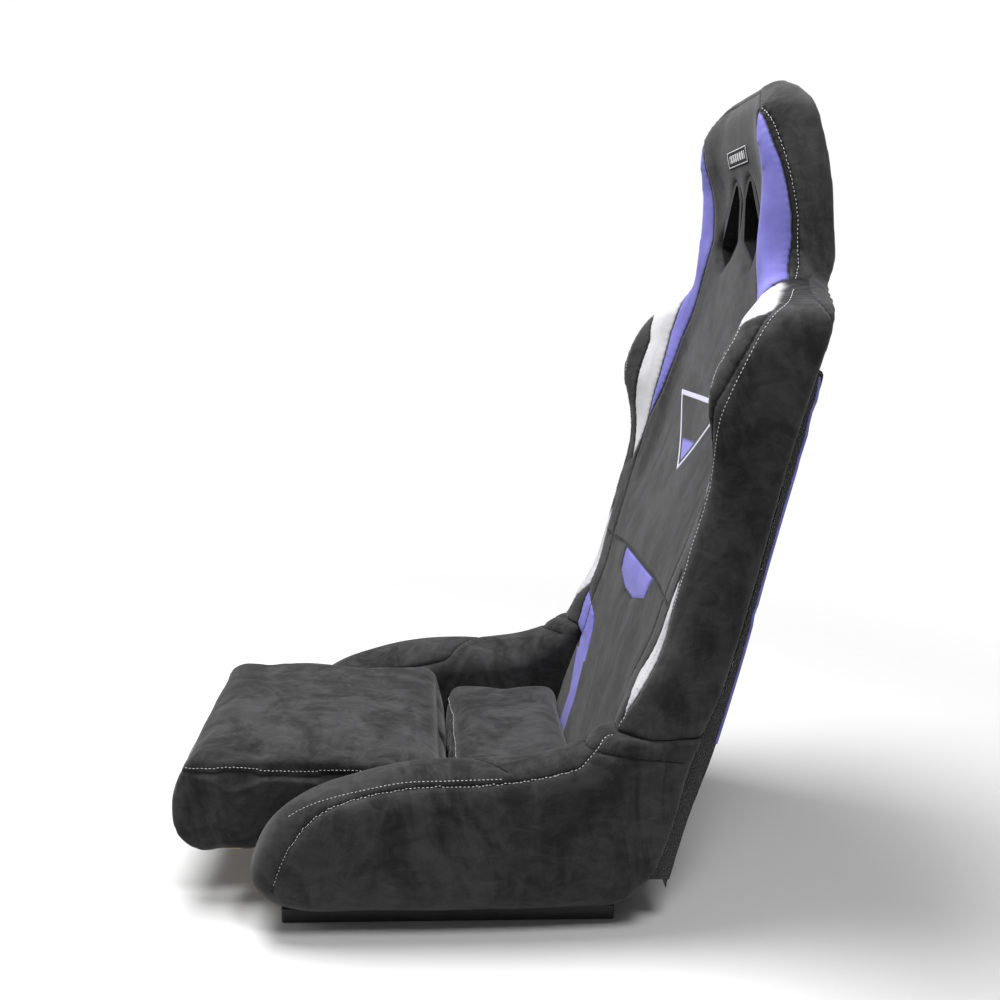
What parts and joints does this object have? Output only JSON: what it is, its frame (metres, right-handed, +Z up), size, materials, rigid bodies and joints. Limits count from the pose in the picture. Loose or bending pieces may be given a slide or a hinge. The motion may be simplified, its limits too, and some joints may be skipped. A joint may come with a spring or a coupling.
{
  "type": "racing seat",
  "caption": "Fixed-back racing seat with winged bolsters, harness slots, lift-out cushions and a hinged rear cover flap on a tube frame.",
  "frame": {"origin": "centre of the four base bolt holes, on the underside of the two base rails", "axes": "+Z up; the seat faces -Y and its back leans towards +Y; +X is the sitter's left"},
  "size_m": [0.5302, 0.7444, 0.932],
  "materials": {
    "frame_paint": "satin black",
    "rail_paint": "satin black",
    "pan_paint": "satin black",
    "pad_cover": "black suede cloth",
    "bolster_cover": "purple and black cloth",
    "cushion_board": "plain plywood",
    "slot_bezel": "gloss black",
    "screw_steel": "zinc plated",
    "label_trim": "silver grey printed cloth",
    "patch_trim": "light grey cloth",
    "webbing": "woven black",
    "flap_cover": "black cloth",
    "tape": "hook and loop tape"
  },
  "bodies": {
    "seat": {"back_bolster_left": "bolster_cover", "back_bolster_right": "bolster_cover", "back_emblem": "label_trim", "back_webbing": "webbing", "base_rail_left": "rail_paint", "base_rail_right": "rail_paint", "bezel_screws": "screw_steel", "flap_hinge_strip": "flap_cover", "foot_pad": "pad_cover", "front_cross_tube": "frame_paint", "harness_bar_tube": "frame_paint", "head_hoop_tube": "frame_paint", "head_label": "label_trim", "head_pad_left": "pad_cover", "head_pad_middle": "pad_cover", "head_pad_right": "pad_cover", "head_pad_upper": "pad_cover", "leg_bolster_left": "bolster_cover", "leg_bolster_right": "bolster_cover", "leg_loop_tube_left": "frame_paint", "leg_loop_tube_right": "frame_paint", "loop_tape_left": "tape", "loop_tape_right": "tape", "lower_back_pad": "pad_cover", "lumbar_cross_tube": "frame_paint", "lumbar_patch": "patch_trim", "pan_bearers": "frame_paint", "rail_saddles_left": "rail_paint", "rail_saddles_right": "rail_paint", "rear_cross_tube": "frame_paint", "seat_pan": "pan_paint", "side_tube_left": "frame_paint", "side_tube_right": "frame_paint", "slot_bezel_front_left": "slot_bezel", "slot_bezel_front_right": "slot_bezel", "slot_bezel_rear_left": "slot_bezel", "slot_bezel_rear_right": "slot_bezel", "upper_back_pad": "pad_cover", "upright_tube_left": "frame_paint", "upright_tube_right": "frame_paint"},
    "front_cushion": {"front_cushion": "pad_cover", "front_cushion_board": "cushion_board"},
    "rear_cushion": {"rear_cushion": "pad_cover", "rear_cushion_board": "cushion_board"},
    "back_flap": {"flap_skin": "flap_cover", "flap_padding": "flap_cover", "flap_edge_tape_left": "tape", "flap_edge_tape_right": "tape", "flap_hook_tape_left": "tape", "flap_hook_tape_right": "tape"}
  },
  "joints": [
    {"name": "front_cushion_lift", "type": "slide", "parent": "seat", "child": "front_cushion", "axis": [0, 0, 1], "range_m": [0, 0.15]},
    {"name": "rear_cushion_lift", "type": "slide", "parent": "seat", "child": "rear_cushion", "axis": [0, 0, 1], "range_m": [0, 0.15]},
    {"name": "flap_hinge", "type": "hinge", "parent": "seat", "child": "back_flap", "pos_m": [0, 0.385, 0.6152], "axis": [1, 0, 0], "range_deg": [0, 80]}
  ]
}
